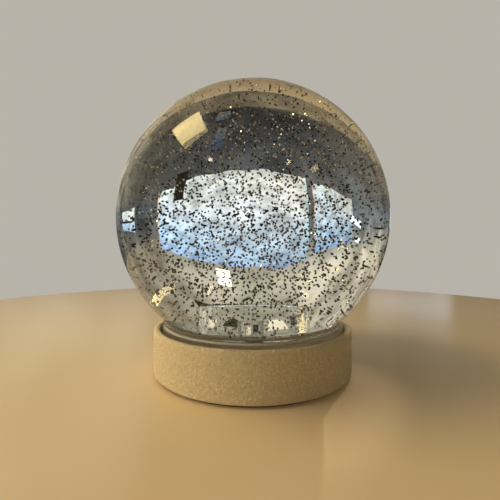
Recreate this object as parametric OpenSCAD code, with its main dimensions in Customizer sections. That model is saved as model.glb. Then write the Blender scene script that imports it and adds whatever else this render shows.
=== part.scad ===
// Glitter globe: a clear water-filled ball on a low ring base.
// Millimetres, +Z up. The origin is the middle of the foot, on the surface that it stands on.

/* [Globe] */
// Outside diameter of the ball
globe_d = 100; // [80:1:130]
// Thickness of the ball and of its neck
glass_wall = 2.4; // [1.6:0.1:3]
// Outside diameter of the short neck under the ball
neck_d = 67.3; // [50:0.5:76]
// Straight length of the neck
neck_h = 2.1; // [1:0.1:8]

/* [Stopper] */
// How far the flange reaches out past the neck
flange_lip = 0.65; // [0.3:0.05:2]
// Thickness of the flange
flange_t = 2.7; // [1.5:0.1:6]
// Height of the spigot that stands in the neck, above the flange
spigot_h = 1.7; // [1.2:0.1:4]
// Outside diameter of the raised cup
cup_d = 32.6; // [20:0.2:44]
// Wall of the raised cup
cup_wall = 2.7; // [1.2:0.1:5]
// Height of the raised cup above the stopper's floor
cup_h = 13; // [5:0.5:25]
// Outside diameter of the filling port in the middle of the cup
port_d = 8.6; // [7:0.1:11]
// Height of the filling port above the stopper's floor
port_h = 8.4; // [4:0.1:16]

/* [Seals and plug] */
// Thickness of the flat ring seal between neck and flange
gasket_t = 0.6; // [0.4:0.1:2]
// Thickness of the round ring seal on the spigot
o_ring_d = 1; // [0.8:0.1:1.4]
// Diameter of the fill plug's stem
plug_d = 5.2; // [3:0.1:6.4]
// Diameter of the fill plug's head
plug_head_d = 8.4; // [7:0.1:12]
// Thickness of the fill plug's head
plug_head_t = 1.6; // [1:0.1:3]
// Length of the fill plug's stem, above its head
plug_len = 8; // [4:0.5:9]

/* [Base] */
// Height of the base, from its underside to its rim
base_h = 16; // [14:0.5:30]
// Width of the rim round the recess
rim_w = 2.5; // [2:0.1:5]
// Depth of the recess that the stopper's flange stands in
recess_depth = 3; // [2:0.1:6]
// Diameter of the well in the middle, round the fill plug
well_d = 20; // [14:0.5:40]
// Rounding of the rim's outer and inner edge
rim_round = 1.1; // [0.4:0.1:1.2]
// Rounding of the bottom edge
foot_round = 0.6; // [0.2:0.1:1]

/* [Pads] */
// Thickness of the foot pad
pad_t = 1.5; // [1:0.1:4]
// How deep the foot pad is let into the base
pad_recess = 0.5; // [0.2:0.1:0.8]
// How far the foot pad's edge stays inside the base's edge
pad_inset = 2; // [1.5:0.1:6]
// Thickness of the seat pad under the stopper
seat_t = 0.8; // [0.5:0.1:2]
// How far the seat pad's edge stays inside the flange's edge
seat_inset = 0.8; // [0.3:0.1:3]

/* [Clearances] */
// Gap between the flange and the side of the recess
seat_clearance = 0.6; // [0.3:0.05:1.5]
// Gap between the spigot and the inside of the neck
spigot_clearance = 0.25; // [0.1:0.05:0.5]
// Radial gap of the plug's stem in its port
plug_clearance = 0.05; // [0.02:0.01:0.1]
// Gap that lets the liquid turn inside the globe
liquid_gap = 0.15; // [0.1:0.05:0.3]
// Gap between the foot pad and the edge of its recess
pad_clearance = 0.1; // [0.05:0.05:0.5]

/* [Glitter] */
// Number of places tried for a flake, some of which are too near the stopper to be used
flake_tries = 200; // [40:10:400]
// Size of the largest flake, across its corners
flake_d = 0.9; // [0.5:0.1:1.5]
// Thickness of a flake
flake_t = 0.15; // [0.1:0.05:0.3]
// Least distance from a flake's middle to the wall
flake_margin = 1.2; // [1:0.1:3]

/* [Hidden] */
$fn = 96;

// Overlap of solids that are joined or cut, so that no face is shared
eps = 0.01;

// Radii
globe_r = globe_d / 2;
globe_inner_r = globe_r - glass_wall;
neck_r = neck_d / 2;
neck_inner_r = neck_r - glass_wall;
spigot_r = neck_inner_r - spigot_clearance;
flange_r = neck_r + flange_lip;
cup_r = cup_d / 2;
cup_inner_r = cup_r - cup_wall;
port_r = port_d / 2;
plug_r = plug_d / 2;
port_bore_r = plug_r + plug_clearance;
recess_r = flange_r + seat_clearance;
base_r = recess_r + rim_w;
rim_round_r = min(rim_round, rim_w / 2 - eps);
well_r = well_d / 2;
seat_r = flange_r - seat_inset;
pad_r = base_r - pad_inset;
pad_seat_r = pad_r + pad_clearance;

// Heights, from the ground up
base_z = pad_t - pad_recess;
rim_z = base_z + base_h;
recess_z = rim_z - recess_depth;
plate_z = recess_z + seat_t;
flange_z = plate_z + flange_t;
neck_z = flange_z + gasket_t;
neck_top_z = neck_z + neck_h;
floor_z = flange_z + spigot_h;
cup_z = floor_z + cup_h;
port_z = floor_z + port_h;
plug_top_z = plate_z + plug_len;
centre_z = neck_top_z + sqrt(globe_r * globe_r - neck_r * neck_r);

// The round seal sits in a groove in the middle of the spigot's height
o_ring_r = o_ring_d / 2;
o_ring_z = flange_z + spigot_h / 2;
o_ring_centre_r = neck_inner_r - o_ring_r;

module disc(r, z0, z1) {
    translate([0, 0, z0]) cylinder(r = r, h = z1 - z0);
}

module tube(r_out, r_in, z0, z1) {
    difference() {
        disc(r_out, z0, z1);
        disc(r_in, z0 - 1, z1 + 1);
    }
}

module torus(r_centre, r_section) {
    rotate_extrude() translate([r_centre, 0]) circle(r = r_section, $fn = 32);
}

// Upright bar with round corners, the section of the base's rim
module wall_section(w, h, top_r, foot_r) {
    translate([0, foot_r]) square([w, h - foot_r - top_r]);
    translate([foot_r, 0]) square([w - 2 * foot_r, h / 2]);
    translate([top_r, h / 2]) square([w - 2 * top_r, h / 2]);
    for (x = [foot_r, w - foot_r]) translate([x, foot_r]) circle(r = foot_r, $fn = 48);
    for (x = [top_r, w - top_r]) translate([x, h - top_r]) circle(r = top_r, $fn = 48);
}

module foot_pad() {
    color("dimgray") disc(pad_r, 0, pad_t);
}

// A block with a rounded rim round a shallow recess, and a well through its middle
module base_ring() {
    color("wheat") difference() {
        union() {
            rotate_extrude()
                translate([recess_r, base_z])
                wall_section(rim_w, base_h, rim_round_r, foot_round);
            disc(recess_r + rim_w / 2, base_z, recess_z);
        }
        disc(well_r, base_z - 1, recess_z + 1);
        disc(pad_seat_r, base_z - 1, base_z + pad_recess);
    }
}

module seat_pad() {
    color("gainsboro") tube(seat_r, well_r, recess_z, plate_z);
}

module stopper() {
    color("azure", 0.4) difference() {
        union() {
            disc(flange_r, plate_z, flange_z);
            disc(spigot_r, flange_z - eps, floor_z);
            tube(cup_r, cup_inner_r, floor_z - eps, cup_z);
            disc(port_r, floor_z - eps, port_z);
        }
        disc(port_bore_r, plate_z - 1, port_z + 1);
        translate([0, 0, o_ring_z]) torus(o_ring_centre_r, o_ring_r);
    }
}

module spigot_o_ring() {
    color("white", 0.6) translate([0, 0, o_ring_z]) torus(o_ring_centre_r, o_ring_r);
}

module neck_gasket() {
    color("white", 0.6) tube(neck_r, spigot_r + spigot_clearance, flange_z, neck_z);
}

module glass_globe() {
    color("lightcyan", 0.3) difference() {
        union() {
            intersection() {
                translate([0, 0, centre_z]) sphere(r = globe_r);
                disc(globe_r + 1, neck_top_z, centre_z + globe_r + 1);
            }
            disc(neck_r, neck_z, neck_top_z);
        }
        translate([0, 0, centre_z]) sphere(r = globe_inner_r);
        disc(neck_inner_r, neck_z - 1, centre_z);
    }
}

module fill_plug() {
    color("white") {
        disc(plug_r, plate_z, plug_top_z);
        disc(plug_head_d / 2, plate_z - plug_head_t, plate_z);
    }
}

// The liquid fills the ball and the neck, stands round and inside the cup, and fills the port
// above the plug.
module water_fill() {
    gap = liquid_gap;
    color("aliceblue", 0.3) {
        difference() {
            union() {
                intersection() {
                    translate([0, 0, centre_z]) sphere(r = globe_inner_r - gap);
                    disc(globe_r, neck_top_z, centre_z + globe_r);
                }
                disc(neck_inner_r - gap, floor_z + gap, centre_z - globe_r / 2);
            }
            tube(cup_r + gap, cup_inner_r - gap, floor_z, cup_z + gap);
            disc(port_r + gap, floor_z, port_z + gap);
        }
        disc(port_bore_r - gap, plug_top_z + gap, port_z + gap + eps);
    }
}

// Flakes are spread evenly through the ball. Those that would come too near the stopper are left
// out, so that the liquid turns with its flakes without touching anything.
flake_seed = 7;
golden_angle = 137.508;
flake_reach = globe_inner_r - flake_margin;
flake_low_z = cup_z + flake_margin;
flake_chance = rands(0, 1, flake_tries * 3, flake_seed);

function flake_height(i) = 2 * flake_chance[3 * i] - 1;
function flake_distance(i) = flake_reach * pow(flake_chance[3 * i + 1], 1 / 3);
function flake_tilt(i) = 180 * flake_chance[3 * i + 2];
function flake_turn(i) = golden_angle * i;
function flake_size(i) = flake_d * (0.7 + 0.3 * flake_chance[3 * i + 2]);
function flake_z(i) = centre_z + flake_distance(i) * flake_height(i);
function flake_out(i) = flake_distance(i) * sqrt(1 - flake_height(i) * flake_height(i));
function flake_place(i) =
    [flake_out(i) * cos(flake_turn(i)), flake_out(i) * sin(flake_turn(i)), flake_z(i)];

module glitter_flakes() {
    color("goldenrod")
    for (i = [0 : flake_tries - 1])
        if (flake_z(i) > flake_low_z)
            translate(flake_place(i))
            rotate([flake_tilt(i), 0, flake_turn(i)])
            cylinder(d = flake_size(i), h = flake_t, center = true, $fn = 6);
}

foot_pad();
base_ring();
seat_pad();
stopper();
spigot_o_ring();
neck_gasket();
glass_globe();
fill_plug();
water_fill();
glitter_flakes();
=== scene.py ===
"""Looks for the glitter globe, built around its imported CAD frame.

Metres, +Z up. The front looks along -Y."""

import math
import random

import bpy
from mathutils import Euler, Matrix, Vector, noise


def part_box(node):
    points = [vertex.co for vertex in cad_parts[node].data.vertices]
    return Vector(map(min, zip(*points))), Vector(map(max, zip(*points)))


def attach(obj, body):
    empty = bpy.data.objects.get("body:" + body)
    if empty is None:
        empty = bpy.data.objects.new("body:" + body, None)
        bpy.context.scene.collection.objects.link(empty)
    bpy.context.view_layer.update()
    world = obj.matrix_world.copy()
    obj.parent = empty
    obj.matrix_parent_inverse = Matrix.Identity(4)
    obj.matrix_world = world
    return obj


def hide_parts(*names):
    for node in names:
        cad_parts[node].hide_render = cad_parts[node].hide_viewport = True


MM = 0.001
TURN = 2 * math.pi

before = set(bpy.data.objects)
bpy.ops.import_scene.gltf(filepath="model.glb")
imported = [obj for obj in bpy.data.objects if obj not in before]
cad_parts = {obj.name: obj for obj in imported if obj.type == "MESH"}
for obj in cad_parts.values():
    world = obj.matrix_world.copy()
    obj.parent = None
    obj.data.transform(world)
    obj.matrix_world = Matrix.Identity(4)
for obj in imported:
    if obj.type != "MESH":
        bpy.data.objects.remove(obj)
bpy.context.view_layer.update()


# ---------------------------------------------------------------- sizes, from the frame
def outer_radius(node):
    low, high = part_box(node)
    return (high.x - low.x) / 2


def low_z(node):
    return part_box(node)[0].z


def high_z(node):
    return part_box(node)[1].z


# The CAD's own walls and steps, which a box doesn't give
GLASS_WALL = 2.4 * MM
SPIGOT_HEIGHT = 1.7 * MM
CUP_RADIUS = 16.3 * MM
CUP_WALL = 2.7 * MM
PORT_RADIUS = 4.3 * MM
PORT_HEIGHT = 8.4 * MM
PLUG_RADIUS = 2.6 * MM
PLUG_GAP = 0.05 * MM
PLUG_HEAD = 1.6 * MM
WELL_RADIUS = 10.0 * MM
RIM_WIDTH = 2.5 * MM
RIM_ROUND = 1.1 * MM
FOOT_ROUND = 0.6 * MM
PAD_RECESS = 0.5 * MM
PAD_GAP = 0.1 * MM

globe_r = outer_radius("glass_globe")
globe_inner_r = globe_r - GLASS_WALL
centre_z = high_z("glass_globe") - globe_r
neck_r = outer_radius("neck_gasket")
neck_inner_r = neck_r - GLASS_WALL
neck_z = low_z("glass_globe")
neck_top_z = centre_z - math.sqrt(globe_r**2 - neck_r**2)
plate_z = low_z("stopper")
flange_r = outer_radius("stopper")
flange_z = low_z("neck_gasket")
floor_z = flange_z + SPIGOT_HEIGHT
cup_z = high_z("stopper")
cup_inner_r = CUP_RADIUS - CUP_WALL
bore_r = PLUG_RADIUS + PLUG_GAP
port_z = floor_z + PORT_HEIGHT
plug_top_z = high_z("fill_plug")
base_r = outer_radius("base_ring")
base_z = low_z("base_ring")
rim_z = high_z("base_ring")
recess_z = low_z("seat_pad")

GLASS_IOR = 1.49
PLASTIC_IOR = 1.59
WATER_IOR = 1.333
# Clear pieces that touch reach this far into each other, so that light meets no air between them
WETTING = 0.05 * MM
# The slight waves of the ball's inner wall
WAVE_HEIGHT = 0.035 * MM
WAVE_LENGTH = 8 * MM


# ---------------------------------------------------------------- mesh helpers
# Points this near the axis are on it
ON_AXIS = 1e-7


def mesh_object(name, vertices, faces, smooth_angle=None):
    mesh = bpy.data.meshes.new(name)
    mesh.from_pydata(vertices, [], faces)
    mesh.validate()
    mesh.update()
    obj = bpy.data.objects.new(name, mesh)
    bpy.context.scene.collection.objects.link(obj)
    if smooth_angle is not None:
        mesh.polygons.foreach_set("use_smooth", [True] * len(mesh.polygons))
        mesh.set_sharp_from_angle(angle=math.radians(smooth_angle))
    return obj


def arc(centre, radius, start, end, steps):
    """Points of an arc in the (radius, height) plane. Angles are in degrees from straight out."""
    points = []
    for i in range(steps + 1):
        angle = math.radians(start + (end - start) * i / steps)
        points.append((centre[0] + radius * math.cos(angle), centre[1] + radius * math.sin(angle)))
    return points


def fillet(before, corner, after, radius, steps=6):
    """The corner of an outline, rounded to the radius, or to what its sides leave room for."""
    most_of_side = 0.45
    nearly_straight = math.radians(88)
    point = Vector(corner)
    to_before = Vector(before) - point
    to_after = Vector(after) - point
    half = to_before.angle(to_after) / 2
    if radius <= 0 or half > nearly_straight:
        return [corner]
    room = min(to_before.length, to_after.length) * most_of_side
    reach = min(radius / math.tan(half), room)
    radius = reach * math.tan(half)
    start = point + to_before.normalized() * reach
    end = point + to_after.normalized() * reach
    inwards = (to_before.normalized() + to_after.normalized()).normalized()
    middle = point + inwards * (radius / math.sin(half))
    first = start - middle
    last = end - middle
    points = []
    for i in range(steps + 1):
        spoke = first.lerp(last, i / steps).normalized() * radius
        points.append(tuple(middle + spoke))
    return points


def rounded_outline(corners, closed):
    """An outline from corners given as (radius, height, rounding)."""
    count = len(corners)
    points = []
    for i, (r, z, rounding) in enumerate(corners):
        at_end = not closed and i in (0, count - 1)
        if at_end or rounding <= 0:
            points.append((r, z))
        else:
            before = corners[i - 1][:2]
            after = corners[(i + 1) % count][:2]
            points += fillet(before, (r, z), after, rounding)
    return points


def lathe(name, outline, steps, closed, smooth_angle=40):
    """Turns an outline about the Z axis. An open outline starts and ends on the axis."""
    angles = [TURN * k / steps for k in range(steps)]
    vertices = []
    rings = []
    for r, z in outline:
        if r < ON_AXIS:
            rings.append([len(vertices)])
            vertices.append((0, 0, z))
        else:
            rings.append(list(range(len(vertices), len(vertices) + steps)))
            vertices += [(r * math.cos(angle), r * math.sin(angle), z) for angle in angles]
    faces = []
    pairs = list(zip(rings, rings[1:]))
    if closed:
        pairs.append((rings[-1], rings[0]))
    for upper, lower in pairs:
        for k in range(steps):
            n = (k + 1) % steps
            if len(upper) == 1:
                faces.append((upper[0], lower[k], lower[n]))
            elif len(lower) == 1:
                faces.append((upper[k], lower[0], upper[n]))
            else:
                faces.append((upper[k], lower[k], lower[n], upper[n]))
    return mesh_object(name, vertices, faces, smooth_angle)


def place(obj, body, slot, material, *nodes):
    obj.data.materials.append(material)
    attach(obj, body)
    if nodes:
        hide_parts(*nodes)
    return obj


# ---------------------------------------------------------------- materials
class Nodes:
    """A node tree, with short calls for the nodes that are used here."""

    def __init__(self, tree, coordinates):
        self.tree = tree
        self.coordinates = coordinates

    def link(self, source, target):
        self.tree.links.new(source, target)

    def node(self, kind, **settings):
        node = self.tree.nodes.new(kind)
        for name, value in settings.items():
            setattr(node, name, value)
        return node

    def place(self):
        return self.node("ShaderNodeTexCoord").outputs[self.coordinates]

    def axes(self):
        """The X, Y and Z of the place."""
        split = self.node("ShaderNodeSeparateXYZ")
        self.link(self.place(), split.inputs["Vector"])
        return split.outputs["X"], split.outputs["Y"], split.outputs["Z"]

    def noise(self, scale, detail=4, roughness=0.6):
        node = self.node("ShaderNodeTexNoise")
        node.inputs["Scale"].default_value = scale
        node.inputs["Detail"].default_value = detail
        node.inputs["Roughness"].default_value = roughness
        self.link(self.place(), node.inputs["Vector"])
        return node.outputs["Fac"]

    def cells(self, scale):
        """A random colour for each small cell."""
        node = self.node("ShaderNodeTexVoronoi")
        node.inputs["Scale"].default_value = scale
        self.link(self.place(), node.inputs["Vector"])
        return node.outputs["Color"]

    def ramp(self, source, *stops):
        node = self.node("ShaderNodeValToRGB")
        elements = node.color_ramp.elements
        while len(elements) < len(stops):
            elements.new(0.5)
        for element, (position, colour) in zip(elements, stops):
            element.position = position
            element.color = (*colour, 1)
        self.link(source, node.inputs["Fac"])
        return node.outputs["Color"]

    def to_range(self, source, low, high, from_low=0.0, from_high=1.0):
        node = self.node("ShaderNodeMapRange")
        node.inputs["From Min"].default_value = from_low
        node.inputs["From Max"].default_value = from_high
        node.inputs["To Min"].default_value = low
        node.inputs["To Max"].default_value = high
        self.link(source, node.inputs["Value"])
        return node.outputs["Result"]

    def multiply(self, first, second):
        node = self.node("ShaderNodeVectorMath", operation="MULTIPLY")
        self.link(first, node.inputs[0])
        self.link(second, node.inputs[1])
        return node.outputs["Vector"]


class Shader(Nodes):
    """A material's nodes, round its Principled shader."""

    def __init__(self, name):
        self.material = bpy.data.materials.new(name)
        self.material.use_nodes = True
        super().__init__(self.material.node_tree, "Object")
        self.bsdf = self.tree.nodes["Principled BSDF"]

    def set(self, **values):
        """Sets inputs of the shader, named with _ for a space."""
        for name, value in values.items():
            self.bsdf.inputs[name.replace("_", " ")].default_value = value

    def bump(self, source, height):
        node = self.node("ShaderNodeBump")
        node.inputs["Strength"].default_value = 1.0
        node.inputs["Distance"].default_value = height
        self.link(source, node.inputs["Height"])
        self.link(node.outputs["Normal"], self.bsdf.inputs["Normal"])


def clear_material(name, ior, tint, mirror=1.0, roughness=0.0):
    """Clear glass, plastic or liquid. mirror under 1 dims what its faces mirror head on."""
    shader = Shader(name)
    shader.set(Transmission_Weight=1.0, IOR=ior, Roughness=roughness)
    shader.bsdf.inputs["Base Color"].default_value = (*tint, 1)
    shader.bsdf.inputs["Specular Tint"].default_value = (mirror, mirror, mirror, 1)
    return shader.material


def flake_material(name, colour):
    """Shiny metal film, duller in patches."""
    shader = Shader(name)
    dull = tuple(channel * 0.6 for channel in colour)
    tone = shader.ramp(shader.noise(900, 1), (0.35, dull), (0.65, colour))
    shader.link(tone, shader.bsdf.inputs["Base Color"])
    shader.set(Metallic=1.0, Roughness=0.15)
    return shader.material


def resin_material():
    """Cream cast resin with a sandy grain."""
    shader = Shader("cream_resin")
    grain = shader.noise(1300, 5, 0.7)
    dark, middle, light = (0.65, 0.53, 0.33), (0.72, 0.60, 0.38), (0.86, 0.75, 0.52)
    colour = shader.ramp(grain, (0.3, dark), (0.5, middle), (0.7, light))
    shader.link(colour, shader.bsdf.inputs["Base Color"])
    shader.link(shader.to_range(grain, 0.75, 0.5), shader.bsdf.inputs["Roughness"])
    shader.set(IOR=1.5)
    shader.bump(shader.noise(900, 4), 0.55 * MM)
    return shader.material


def grit_painted_glint_material():
    """Near-white grains with a clear coat, for the grit in the resin. Their pale colour is partly painted
    glint: it makes them show as bright dots where the base sparkles.
    """
    shader = Shader("grit_painted_glint")
    tone = shader.ramp(shader.cells(1500), (0.2, (0.94, 0.88, 0.76)), (0.8, (1.0, 0.98, 0.94)))
    shader.link(tone, shader.bsdf.inputs["Base Color"])
    shader.set(Roughness=0.4, Coat_Weight=1.0, Coat_Roughness=0.2)
    return shader.material


def soft_material(name, dark, light, scale, height, roughness):
    """Felt, foam or rubber, with a grain of the given scale that stands up by the height."""
    shader = Shader(name)
    grain = shader.noise(scale, 6, 0.7)
    shader.link(shader.ramp(grain, (0.3, dark), (0.7, light)), shader.bsdf.inputs["Base Color"])
    shader.link(shader.to_range(grain, roughness, roughness * 0.8), shader.bsdf.inputs["Roughness"])
    shader.bump(grain, height)
    return shader.material


# ---------------------------------------------------------------- clear pieces
GLOBE_STEPS = 256
BALL_RINGS = 120
# Rounding of the stopper's edges, of its larger ones, and of its spigot's foot
EDGE_ROUND = 0.3 * MM
CUP_ROUND = 0.6 * MM
SPIGOT_ROUND = 0.1 * MM
# Rounding of the neck's end
LIP_ROUND = GLASS_WALL * 0.3


def ball_outline(radius, junction_r):
    """A ball's outline from its top pole down to where it meets a neck of the given radius."""
    end = -math.degrees(math.acos(junction_r / radius))
    points = arc((0, centre_z), radius, 90, end, BALL_RINGS)
    points[0] = (0, points[0][1])
    return points


def build_globe():
    """The ball and its neck, with slight waves in the ball's inner wall."""
    outside = ball_outline(globe_r, neck_r)
    inside = ball_outline(globe_inner_r, neck_inner_r)
    neck_corners = [
        (neck_r, neck_top_z, 0),
        (neck_r, neck_z, LIP_ROUND),
        (neck_inner_r, neck_z, LIP_ROUND),
        (neck_inner_r, floor_z, 0),
    ]
    neck = rounded_outline(neck_corners, closed=False)
    outline = outside[:-1] + neck + list(reversed(inside))
    globe = lathe("clear_globe", outline, GLOBE_STEPS, closed=False)
    for vertex in globe.data.vertices:
        out = vertex.co - Vector((0, 0, centre_z))
        if abs(out.length - globe_inner_r) < WETTING:
            vertex.co += out.normalized() * WAVE_HEIGHT * noise.noise(vertex.co / WAVE_LENGTH)
    return globe


def build_stopper():
    """The flange with its spigot, raised cup and filling port."""
    spigot_r = neck_inner_r + WETTING
    low = plate_z - WETTING
    corners = [
        (bore_r, port_z, EDGE_ROUND),
        (PORT_RADIUS, port_z, EDGE_ROUND),
        (PORT_RADIUS, floor_z, EDGE_ROUND),
        (cup_inner_r, floor_z, CUP_ROUND),
        (cup_inner_r, cup_z, CUP_ROUND),
        (CUP_RADIUS, cup_z, CUP_ROUND),
        (CUP_RADIUS, floor_z, CUP_ROUND),
        (spigot_r, floor_z, EDGE_ROUND),
        (spigot_r, flange_z, SPIGOT_ROUND),
        (flange_r, flange_z, EDGE_ROUND),
        (flange_r, low, EDGE_ROUND),
        (bore_r, low, EDGE_ROUND),
    ]
    return lathe("clear_stopper", rounded_outline(corners, closed=True), GLOBE_STEPS, closed=True)


def build_water():
    """The liquid. It fills the ball, the neck, the cup and the port above the plug."""
    wall_r = neck_inner_r + WETTING
    ball = ball_outline(globe_inner_r + WETTING, wall_r)
    cup_out_r = CUP_RADIUS - WETTING
    cup_in_r = cup_inner_r + WETTING
    port_side_r = PORT_RADIUS - WETTING
    port_bore_r = bore_r + WETTING
    low = floor_z - WETTING
    cup_top = cup_z - WETTING
    port_top = port_z - WETTING
    plug_top = plug_top_z - WETTING
    corners = [
        (wall_r, ball[-1][1], 0),
        (wall_r, low, EDGE_ROUND),
        (cup_out_r, low, CUP_ROUND),
        (cup_out_r, cup_top, CUP_ROUND),
        (cup_in_r, cup_top, CUP_ROUND),
        (cup_in_r, low, CUP_ROUND),
        (port_side_r, low, EDGE_ROUND),
        (port_side_r, port_top, EDGE_ROUND),
        (port_bore_r, port_top, EDGE_ROUND),
        (port_bore_r, plug_top, 0),
        (0, plug_top, 0),
    ]
    outline = ball[:-1] + rounded_outline(corners, closed=False)
    return lathe("clear_water", outline, GLOBE_STEPS, closed=False)


# ---------------------------------------------------------------- base and small pieces
BASE_STEPS = 384
PLUG_STEPS = 96

GRIT_COUNT = 2600
GRIT_RADIUS = (0.15 * MM, 0.32 * MM)
GRIT_THICKNESS = 0.06 * MM
# Spread of the grains' slants in radians, and the share of its radius that a grain is sunk by
GRIT_TILT = 0.5
GRIT_SUNK = 0.2
# Heights run from this far above the base's underside to this far past its rim. What is past the
# wall is laid round the rim's edge, up to a number of quarter turns
GRIT_FOOT = 0.9 * MM
GRIT_PAST_RIM = 1.2 * MM
GRIT_MOST_LEAN = 1.4


def build_base():
    """The cream block, with its rim, its recess, its well and the seat of the foot pad."""
    well_foot_z = base_z + PAD_RECESS
    recess_r = base_r - RIM_WIDTH
    pad_seat_r = outer_radius("foot_pad") + PAD_GAP
    corners = [
        (WELL_RADIUS, recess_z, 0.3 * MM),
        (recess_r, recess_z, 0.4 * MM),
        (recess_r, rim_z, RIM_ROUND),
        (base_r, rim_z, RIM_ROUND),
        (base_r, base_z, FOOT_ROUND),
        (pad_seat_r, base_z, 0.2 * MM),
        (pad_seat_r, well_foot_z, 0.1 * MM),
        (WELL_RADIUS, well_foot_z, 0.2 * MM),
    ]
    return lathe("cream_base", rounded_outline(corners, closed=True), BASE_STEPS, closed=True)


def add_plate(vertices, faces, place_matrix, radius, thickness, sides):
    """Adds a flat plate of a few sides, as a closed prism."""
    start = len(vertices)
    for level in (-thickness / 2, thickness / 2):
        for k in range(sides):
            angle = TURN * k / sides
            corner = Vector((radius * math.cos(angle), radius * math.sin(angle), level))
            vertices.append(tuple(place_matrix @ corner))
    faces.append(tuple(start + k for k in reversed(range(sides))))
    faces.append(tuple(start + sides + k for k in range(sides)))
    for k in range(sides):
        n = (k + 1) % sides
        faces.append((start + k, start + n, start + sides + n, start + sides + k))


def base_skin(height):
    """The base's outside: its radius, height and lean. Heights above the wall go on round the rim."""
    wall_high = rim_z - RIM_ROUND
    if height < wall_high:
        return base_r, height, 0.0
    lean = min((height - wall_high) / RIM_ROUND, GRIT_MOST_LEAN) * math.pi / 2
    return base_r - RIM_ROUND + RIM_ROUND * math.cos(lean), wall_high + RIM_ROUND * math.sin(lean), lean


def build_grit():
    """Pale grit that shows on the outside of the base and on its rim. Its paleness is partly painted glint,
    for the base's sparkles.
    """
    rng = random.Random(11)
    vertices, faces = [], []
    for _ in range(GRIT_COUNT):
        angle = rng.uniform(0, TURN)
        r, z, lean = base_skin(rng.uniform(base_z + GRIT_FOOT, rim_z + GRIT_PAST_RIM))
        outwards = Vector((math.cos(angle), math.sin(angle), 0))
        normal = outwards * math.cos(lean) + Vector((0, 0, math.sin(lean)))
        radius = rng.uniform(*GRIT_RADIUS)
        spot = outwards * r + Vector((0, 0, z)) - normal * radius * GRIT_SUNK
        slant = (rng.gauss(0, GRIT_TILT), rng.gauss(0, GRIT_TILT), rng.uniform(0, TURN))
        turn = normal.to_track_quat("Z", "Y").to_matrix() @ Euler(slant).to_matrix()
        sides = rng.choice((5, 6))
        place_matrix = Matrix.Translation(spot) @ turn.to_4x4()
        add_plate(vertices, faces, place_matrix, radius, GRIT_THICKNESS, sides)
    return mesh_object("base_grit", vertices, faces)


def build_plug():
    """Soft plug: a ribbed stem, a round-edged head and a thumb hollow in its underside."""
    ribs = 4
    rib = 0.12 * MM
    hollow = 0.7 * MM
    head_r = outer_radius("fill_plug")
    low = low_z("fill_plug")
    stem_low = low + PLUG_HEAD
    corners = [(0, plug_top_z, 0), (PLUG_RADIUS - rib * 3, plug_top_z, 0.2 * MM)]
    for i in range(ribs):
        z = plug_top_z - (plug_top_z - stem_low) * (i + 0.6) / (ribs + 0.4)
        corners += [
            (PLUG_RADIUS, z + rib * 2, rib),
            (PLUG_RADIUS, z - rib * 2, rib),
            (PLUG_RADIUS - rib, z - rib * 5, rib),
        ]
    corners += [
        (PLUG_RADIUS - rib, stem_low, 0.1 * MM),
        (head_r, stem_low, 0.3 * MM),
        (head_r, low, 0.5 * MM),
        (head_r * 0.55, low, 0.4 * MM),
        (head_r * 0.4, low + hollow, 0.4 * MM),
        (0, low + hollow, 0),
    ]
    return lathe("soft_plug", rounded_outline(corners, closed=False), PLUG_STEPS, closed=False)


# ---------------------------------------------------------------- glitter
FLAKE_COUNT = 5200
SETTLED_COUNT = 520
FLAKE_RADIUS = (0.24 * MM, 0.35 * MM)
FLAKE_THICKNESS = 0.4 * MM
# Least distance of a flake's middle from the stopper and the neck, and from the ball
FLAKE_CLEAR = 0.6 * MM
BALL_CLEAR = 2.2 * MM
# Flakes high in the ball are smaller by this share
FLAKE_SHRINK = 0.2
# Of the flakes at a share of the liquid's height, THINNING * (THIN_ABOVE - share) are kept, at most all
THINNING = 3.2
THIN_ABOVE = 1.14
# Settled flakes: the share on the cup's rim, how high their middles lie, and their slant in radians
ON_CUP_RIM = 0.15
SETTLED_LIFT = (0.12 * MM, 0.3 * MM)
SETTLED_TILT = 0.2


def near_cup_wall(r):
    return abs(r - (CUP_RADIUS - CUP_WALL / 2)) < CUP_WALL / 2 + FLAKE_CLEAR


def near_port(r):
    return r < PORT_RADIUS + FLAKE_CLEAR


def in_liquid(r, z):
    """True if a flake there is clear of the glass and the stopper."""
    if z < floor_z + FLAKE_CLEAR:
        return False
    if z < cup_z + FLAKE_CLEAR and near_cup_wall(r):
        return False
    if z < port_z + FLAKE_CLEAR and near_port(r):
        return False
    if z < neck_top_z + GLASS_WALL:
        return r < neck_inner_r - FLAKE_CLEAR
    return math.hypot(r, z - centre_z) < globe_inner_r - BALL_CLEAR


def hanging_flake(rng):
    """A place in the liquid, turned at random. There are fewer flakes near the top, because they sink."""
    top_z = centre_z + globe_inner_r
    while True:
        x = rng.uniform(-globe_inner_r, globe_inner_r)
        y = rng.uniform(-globe_inner_r, globe_inner_r)
        z = rng.uniform(floor_z, top_z)
        share = (z - floor_z) / (top_z - floor_z)
        if in_liquid(math.hypot(x, y), z) and rng.random() < min(1, THINNING * (THIN_ABOVE - share)):
            return Vector((x, y, z)), Euler([rng.uniform(0, TURN) for _ in range(3)]).to_matrix()


def settled_flake(rng):
    """A place on the stopper's floor or on the cup's rim, lying nearly flat."""
    if rng.random() < ON_CUP_RIM:
        r = rng.uniform(cup_inner_r, CUP_RADIUS)
        r = min(max(r, cup_inner_r + FLAKE_CLEAR), CUP_RADIUS - FLAKE_CLEAR)
        z = cup_z
    else:
        r = 0.0
        z = floor_z
        while near_cup_wall(r) or near_port(r):
            r = (neck_inner_r - FLAKE_CLEAR) * math.sqrt(rng.random())
    angle = rng.uniform(0, TURN)
    lift = rng.uniform(*SETTLED_LIFT)
    slant = (rng.gauss(0, SETTLED_TILT), rng.gauss(0, SETTLED_TILT), rng.uniform(0, TURN))
    spot = Vector((r * math.cos(angle), r * math.sin(angle), z + lift))
    return spot, Euler(slant).to_matrix()


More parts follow.
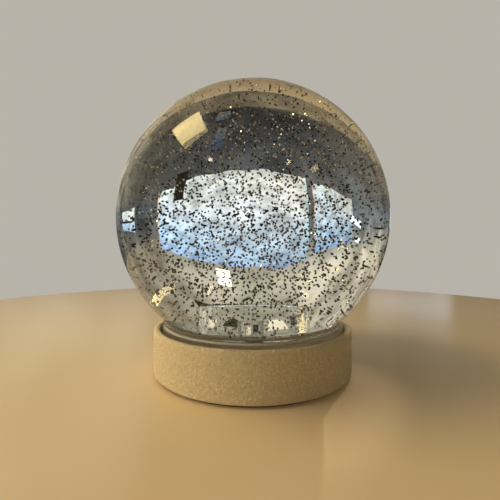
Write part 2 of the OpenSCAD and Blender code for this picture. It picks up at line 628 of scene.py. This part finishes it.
def build_flakes(kinds):
    """One piece for each kind of flake, given as name: (share low down, share high up, material). Shifting
    the shares with height is painted light: the mix is darker low down and lighter high up, where the
    flakes show as glints.
    """
    rng = random.Random(3)
    names = list(kinds)
    meshes = {name: ([], []) for name in names}
    for i in range(FLAKE_COUNT + SETTLED_COUNT):
        spot, turn = hanging_flake(rng) if i < FLAKE_COUNT else settled_flake(rng)
        # 0 up to the ball's middle, and 1 from half way between there and its top
        rise = min(max(2 * (spot.z - centre_z) / globe_inner_r, 0), 1)
        shares = [kinds[name][0] * (1 - rise) + kinds[name][1] * rise for name in names]
        name = rng.choices(names, shares)[0]
        scale = 1 - FLAKE_SHRINK * rise
        radius = rng.uniform(*FLAKE_RADIUS) * scale
        place_matrix = Matrix.Translation(spot) @ turn.to_4x4()
        add_plate(*meshes[name], place_matrix, radius, FLAKE_THICKNESS * scale, 6)
    for name in names:
        obj = mesh_object(name, *meshes[name])
        place(obj, "liquid", "glitter", kinds[name][2], "glitter_flakes")


# ---------------------------------------------------------------- the model
glass = clear_material("clear_glass", GLASS_IOR, (0.985, 0.995, 0.99), mirror=0.5)
plastic = clear_material("clear_plastic", PLASTIC_IOR, (0.99, 0.99, 0.98))
liquid = clear_material("liquid", WATER_IOR, (0.99, 0.995, 0.995), mirror=0.0)

place(build_globe(), "globe", "clear_glass", glass, "glass_globe")
place(build_stopper(), "globe", "clear_plastic", plastic, "stopper")
place(build_water(), "liquid", "liquid", liquid, "water_fill")
place(build_base(), "base", "cream_resin", resin_material(), "base_ring")
# The grit's near-white colour is partly painted glint: bright dots for the base's sparkles.
place(build_grit(), "base", "cream_resin", grit_painted_glint_material())
rubber = soft_material("plug_rubber", (0.70, 0.68, 0.62), (0.82, 0.80, 0.75), 1500, 0.01 * MM, 0.5)
place(build_plug(), "plug", "plug_rubber", rubber, "fill_plug")
# Dark flakes are a guessed black glitter, and also painted shade for flakes that show black against the
# bright window. Their share falls from 0.70 to 0.38 towards the top: painted light, for the flakes that
# glint up there.
build_flakes({
    "dark_flakes": (0.70, 0.38, flake_material("dark_flake", (0.045, 0.045, 0.045))),
    "silver_flakes": (0.17, 0.38, flake_material("silver_flake", (0.80, 0.84, 0.86))),
    "gold_flakes": (0.13, 0.24, flake_material("gold_flake", (0.88, 0.83, 0.62))),
})

CAD_MATERIALS = {
    # The foot pad's felt is near black, partly as painted shade for the dark gap under the base.
    "foot_pad": soft_material("felt", (0.012, 0.011, 0.010), (0.06, 0.055, 0.05), 3000, 0.15 * MM, 0.95),
    "seat_pad": soft_material("foam", (0.72, 0.60, 0.41), (0.88, 0.77, 0.56), 4000, 0.08 * MM, 0.9),
    "neck_gasket": soft_material("silicone", (0.66, 0.62, 0.52), (0.80, 0.76, 0.66), 1200, 0.01 * MM, 0.45),
    "spigot_o_ring": clear_material("clear_silicone", 1.02, (0.96, 0.95, 0.90), roughness=0.1),
}
for node_name, node_material in CAD_MATERIALS.items():
    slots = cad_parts[node_name].material_slots
    for material_slot in slots:
        material_slot.material = node_material


# ---------------------------------------------------------------- floor, backdrop and light
globe_centre = Vector((0, 0, centre_z))
DAYLIGHT = (0.80, 0.90, 1.0)
LAMP = (1.0, 0.77, 0.34)
WARM = (1.0, 0.84, 0.60)
# Most lights and cards are this far off, and the dark cards are just in front of them
FAR = 2.5
BEFORE_FAR = 2.4


def towards(azimuth, elevation):
    """Direction from the globe, in degrees. Azimuth 0 is behind it, and 90 is to its right."""
    a, e = math.radians(azimuth), math.radians(elevation)
    return Vector((math.sin(a) * math.cos(e), math.cos(a) * math.cos(e), math.sin(e)))


def facing_matrix(azimuth, elevation, distance, roll=0):
    """The place of something that faces the globe from a distance, turned by roll degrees."""
    direction = towards(azimuth, elevation)
    turn = direction.to_track_quat("Z", "Y").to_matrix().to_4x4()
    rolled = turn @ Matrix.Rotation(math.radians(roll), 4, "Z")
    return Matrix.Translation(globe_centre + direction * distance) @ rolled


def span(degrees, distance):
    """The width that covers an angle at a distance."""
    return 2 * distance * math.tan(math.radians(degrees) / 2)


def softbox(
    name, azimuth, elevation, width, height, radiance, colour,
    distance=FAR, roll=0, mirrored=True, through_glass=True, shadows=True,
):
    """A rectangular light that faces the globe. Its width and height are in degrees.

    A light that isn't mirrored doesn't show on shiny faces, and one that isn't through_glass doesn't
    show through the glass. One without shadows also lights what the glass would shade."""
    light = bpy.data.lights.new(name, "AREA")
    light.shape = "RECTANGLE"
    light.size = span(width, distance)
    light.size_y = span(height, distance)
    light.energy = radiance * math.pi * light.size * light.size_y
    light.color = colour
    light.use_shadow = shadows
    obj = bpy.data.objects.new(name, light)
    bpy.context.scene.collection.objects.link(obj)
    obj.matrix_world = facing_matrix(azimuth, elevation, distance, roll)
    obj.visible_camera = False
    obj.visible_glossy = mirrored
    obj.visible_transmission = through_glass


def spot(name, azimuth, elevation, target, radius, power, distance=0.6):
    """A narrow light from a direction, on a patch of the given radius."""
    light = bpy.data.lights.new(name, "SPOT")
    light.energy = power
    light.color = WARM
    light.spot_size = 2 * math.atan(radius / distance)
    light.spot_blend = 0.8
    light.shadow_soft_size = 20 * MM
    obj = bpy.data.objects.new(name, light)
    bpy.context.scene.collection.objects.link(obj)
    direction = towards(azimuth, elevation)
    obj.location = target + direction * distance
    obj.rotation_euler = direction.to_track_quat("Z", "Y").to_euler()
    obj.visible_camera = False
    obj.visible_glossy = False
    obj.visible_transmission = False


def window(name, azimuth, elevation, width, height, strength):
    """A bright mottled card: sky blue above, cream below, with a warm and a cool edge."""
    shader = Shader(name)
    x, y, _ = shader.axes()
    across = shader.to_range(x, low=0, high=1, from_low=-0.5, from_high=0.5)
    up = shader.to_range(y, low=0, high=1, from_low=-0.5, from_high=0.5)
    sky = shader.ramp(
        up,
        (0.0, (0.85, 0.85, 0.80)),
        (0.35, (0.95, 0.97, 1.0)),
        (0.7, (0.62, 0.80, 1.0)),
        (1.0, (0.42, 0.60, 0.92)),
    )
    edges = shader.ramp(
        across,
        (0.0, (1.0, 0.50, 0.25)),
        (0.03, (0.95, 1.05, 1.1)),
        (0.95, (0.90, 0.86, 0.78)),
        (1.0, (0.7, 0.85, 0.8)),
    )
    mottling = shader.to_range(shader.noise(7, 4, 0.65), low=0.35, high=1.55, from_low=0.3, from_high=0.7)
    glow = shader.multiply(shader.multiply(sky, edges), mottling)
    shader.link(glow, shader.bsdf.inputs["Emission Color"])
    shader.set(Emission_Strength=strength, Roughness=1.0)
    shader.bsdf.inputs["Base Color"].default_value = (0, 0, 0, 1)
    stand_card(name, azimuth, elevation, width, height, FAR, shader.material)


def dark_card(name, azimuth, elevation, width, height):
    """A nearly black card, for the glass to show as a bar or a dark patch."""
    shader = Shader(name)
    tone = shader.ramp(shader.noise(4, 2), (0.4, (0.006, 0.006, 0.008)), (0.6, (0.03, 0.03, 0.03)))
    shader.link(tone, shader.bsdf.inputs["Base Color"])
    shader.set(Specular_IOR_Level=0.0)
    stand_card(name, azimuth, elevation, width, height, BEFORE_FAR, shader.material)


def stand_card(name, azimuth, elevation, width, height, distance, material):
    """A flat card that faces the globe. The camera doesn't see it, but the glass does."""
    corners = [(-0.5, -0.5, 0), (0.5, -0.5, 0), (0.5, 0.5, 0), (-0.5, 0.5, 0)]
    card = mesh_object(name, corners, [(0, 1, 2, 3)])
    card.data.materials.append(material)
    stretch = Matrix.Diagonal((span(width, distance), span(height, distance), 1, 1))
    card.matrix_world = facing_matrix(azimuth, elevation, distance) @ stretch
    card.visible_camera = False


def build_floor():
    """A pale round table top that ends a little way behind the globe."""
    radius = 276 * MM
    thickness = 12 * MM
    edge = 2 * MM
    corners = [(0, 0, 0), (radius, 0, edge), (radius, -thickness, edge), (0, -thickness, 0)]
    floor = lathe("floor", rounded_outline(corners, closed=False), 256, closed=False)
    shader = Shader("pale_floor")
    tone = shader.ramp(shader.noise(3, 2), (0.3, (0.64, 0.50, 0.32)), (0.7, (0.69, 0.55, 0.36)))
    shader.link(tone, shader.bsdf.inputs["Base Color"])
    shader.set(Roughness=0.22, IOR=1.5)
    floor.data.materials.append(shader.material)


def build_world():
    """A plain pale backdrop, and a dim patchy room for the glass to show.

    The room is dark behind the camera and to the right, and has a dark band low down."""
    world = bpy.data.worlds.new("studio")
    bpy.context.scene.world = world
    world.use_nodes = True
    nodes = Nodes(world.node_tree, "Generated")
    x, y, z = nodes.axes()
    backdrop = (0.48, 0.45, 0.40)
    # Elevation in degrees, and the room's colour there
    bands = [
        (-90, (0.16, 0.125, 0.075)),
        (-12.2, (0.16, 0.125, 0.075)),
        (-11.2, (0.035, 0.033, 0.03)),
        (-3, (0.05, 0.05, 0.05)),
        (0, (0.08, 0.085, 0.085)),
        (5, (0.20, 0.21, 0.21)),
        (9, (0.46, 0.42, 0.32)),
        (32, (0.46, 0.42, 0.32)),
        (48, (0.16, 0.14, 0.11)),
        (90, (0.12, 0.11, 0.09)),
    ]
    stops = [((math.sin(math.radians(elevation)) + 1) / 2, colour) for elevation, colour in bands]
    room = nodes.ramp(nodes.to_range(z, low=0, high=1, from_low=-1, from_high=1), *stops)
    sideways = nodes.to_range(x, low=1.5, high=0.5, from_low=-0.3, from_high=0.3)
    forwards = nodes.to_range(y, low=0.3, high=1, from_low=-0.3, from_high=0.5)
    patches = nodes.to_range(nodes.noise(9, 4), low=0.45, high=1.55, from_low=0.35, from_high=0.65)
    shaded_room = nodes.multiply(nodes.multiply(room, sideways), nodes.multiply(forwards, patches))
    mix = nodes.node("ShaderNodeMix", data_type="RGBA")
    mix.inputs["B"].default_value = (*backdrop, 1)
    nodes.link(nodes.node("ShaderNodeLightPath").outputs["Is Camera Ray"], mix.inputs["Factor"])
    nodes.link(shaded_room, mix.inputs["A"])
    nodes.link(mix.outputs["Result"], nodes.tree.nodes["Background"].inputs["Color"])


def build_camera():
    """A phone held close to the front of the globe, a little under its middle."""
    distance = 135.9 * MM
    sideways = -1.03 * MM
    above_base = 46.31 * MM
    tilt_down = 0.8
    camera = bpy.data.cameras.new("camera")
    camera.sensor_width = 36
    camera.lens = 24.98
    camera.clip_start = 5 * MM
    obj = bpy.data.objects.new("camera", camera)
    bpy.context.scene.collection.objects.link(obj)
    obj.location = (sideways, -distance, base_z + above_base)
    obj.rotation_euler = (math.radians(90 - tilt_down), 0, 0)
    bpy.context.scene.camera = obj


def build_cards():
    """What the glass shows upside down: windows, and dark things in front of them.

    The numbers are azimuth, elevation, width and height in degrees, and a window's strength."""
    window("window_main", 3.6, 4.15, 13.8, 5.9, 0.98)
    window("window_side", -7.4, 4.1, 7.0, 5.0, 0.8)
    window("low_streak", 4.0, -8.5, 1.6, 2.6, 0.14)
    window("low_patch", 3.4, -3.5, 1.0, 3.5, 0.12)
    for azimuth in (90, 180, 270):
        window(f"window_{azimuth}", azimuth, 4.5, 16, 7, 0.85)
    dark_card("dark_cabinet", 6.4, 1.4, 1.6, 2.4)
    dark_card("dark_beam", 4.5, 15.5, 6, 4)
    window("window_far", 26, 4, 12, 4, 1.3)


def build_lights():
    """Small lights that the glass shows or mirrors, and then the lights that only light things.

    The numbers are azimuth, elevation, width and height in degrees, and the radiance."""
    softbox("strip_long", -12, 4.6, 3.5, 0.8, 1.4, DAYLIGHT, roll=12)
    softbox("strip_short", -13, 6.4, 2.0, 0.6, 1.2, DAYLIGHT, roll=12)
    softbox("glare", 2.4, 8.2, 1.2, 1.4, 2.5, WARM)
    softbox("ceiling_panel", -3.5, 17, 6, 5, 0.85, WARM)
    softbox("lamp", -95, 55, 21, 16, 10.0, LAMP, distance=1.2, roll=-10)
    softbox("lamp_far", 127, 32, 4, 3, 10.0, LAMP)
    softbox("sparkle_left", -142, 39, 2.5, 2.5, 25.0, WARM)
    softbox("sparkle_right", 149, 38, 2.5, 2.5, 25.0, WARM)

    unseen = {"mirrored": False, "through_glass": False}
    softbox("key", -108, 20, 26, 20, 8.2, WARM, distance=0.9, **unseen)
    ceiling = [(-110, 60), (-65, 60), (-25, 58), (-90, 40)]
    for number, (azimuth, elevation) in enumerate(ceiling):
        softbox(f"ceiling_{number}", azimuth, elevation, 20, 14, 1.1, WARM, mirrored=False)
    softbox("overhead", -90, 78, 30, 30, 1.2, WARM, shadows=False, **unseen)
    spot("rim_spot", 30, 32, Vector((0.96 * base_r, -10 * MM, rim_z)), 6.5 * MM, 70.0)


build_camera()
build_floor()
build_world()
build_cards()
build_lights()

scene = bpy.context.scene
scene.view_settings.view_transform = "Standard"
scene.cycles.max_bounces = 32
scene.cycles.transmission_bounces = 24
